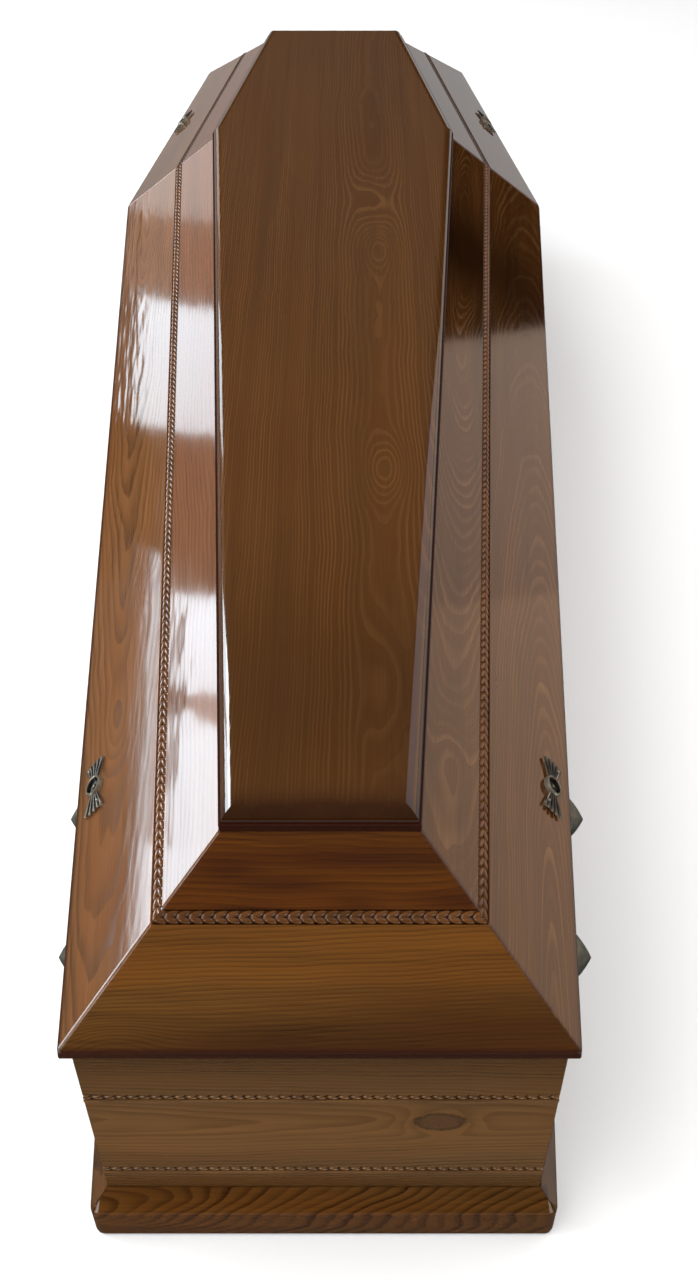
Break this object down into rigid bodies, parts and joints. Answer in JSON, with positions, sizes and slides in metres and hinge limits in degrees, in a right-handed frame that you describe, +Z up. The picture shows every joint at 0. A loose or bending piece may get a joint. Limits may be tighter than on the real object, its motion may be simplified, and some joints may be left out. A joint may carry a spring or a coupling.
{
  "type": "wooden coffin",
  "caption": "Six-sided shouldered wooden coffin: hollow case with a base moulding under a lift-off lid of sloping boards and a flat panel, with rope mouldings, screw covers and handles.",
  "frame": {"origin": "centre of the length and width on the plane it stands on", "axes": "+Z up, +Y along the length towards the head end, +X to the right of someone who stands at the foot end and looks at it"},
  "size_m": [0.6756, 2.0204, 0.4771],
  "materials": {
    "case_wood": "olive-brown stained softwood, clear satin lacquer",
    "base_wood": "dark brown stained softwood with strong grain, clear lacquer",
    "lid_wood": "warm brown stained softwood, high-gloss lacquer",
    "panel_wood": "dark olive-brown stained softwood, high-gloss lacquer",
    "rope_wood": "carved rope moulding, stained and lacquered",
    "floor_wood": "plain unfinished softwood board",
    "bronze": "dark antique bronze casting with worn high spots"
  },
  "bodies": {
    "root": {"floor": "floor_wood", "lid_top_panel": "panel_wood", "wall_foot": "case_wood", "base_foot": "base_wood", "wall_rope_low_foot": "rope_wood", "wall_rope_high_foot": "rope_wood", "lid_lower_foot": "lid_wood", "lid_rope_foot": "rope_wood", "lid_upper_foot": "lid_wood", "wall_head": "case_wood", "base_head": "base_wood", "wall_rope_low_head": "rope_wood", "wall_rope_high_head": "rope_wood", "lid_lower_head": "lid_wood", "lid_rope_head": "rope_wood", "lid_upper_head": "lid_wood", "wall_left_side": "case_wood", "base_left_side": "base_wood", "wall_rope_low_left_side": "rope_wood", "wall_rope_high_left_side": "rope_wood", "lid_lower_left_side": "lid_wood", "lid_rope_left_side": "rope_wood", "lid_upper_left_side": "lid_wood", "wall_right_side": "case_wood", "base_right_side": "base_wood", "wall_rope_low_right_side": "rope_wood", "wall_rope_high_right_side": "rope_wood", "lid_lower_right_side": "lid_wood", "lid_rope_right_side": "rope_wood", "lid_upper_right_side": "lid_wood", "wall_left_shoulder": "case_wood", "base_left_shoulder": "base_wood", "wall_rope_low_left_shoulder": "rope_wood", "wall_rope_high_left_shoulder": "rope_wood", "lid_lower_left_shoulder": "lid_wood", "lid_rope_left_shoulder": "rope_wood", "lid_upper_left_shoulder": "lid_wood", "wall_right_shoulder": "case_wood", "base_right_shoulder": "base_wood", "wall_rope_low_right_shoulder": "rope_wood", "wall_rope_high_right_shoulder": "rope_wood", "lid_lower_right_shoulder": "lid_wood", "lid_rope_right_shoulder": "rope_wood", "lid_upper_right_shoulder": "lid_wood", "screw_cover_left_foot": "bronze", "screw_cover_right_foot": "bronze", "screw_cover_left_head": "bronze", "screw_cover_right_head": "bronze", "handle_left_foot": "bronze", "handle_right_foot": "bronze", "handle_left_head": "bronze", "handle_right_head": "bronze"}
  },
  "joints": []
}
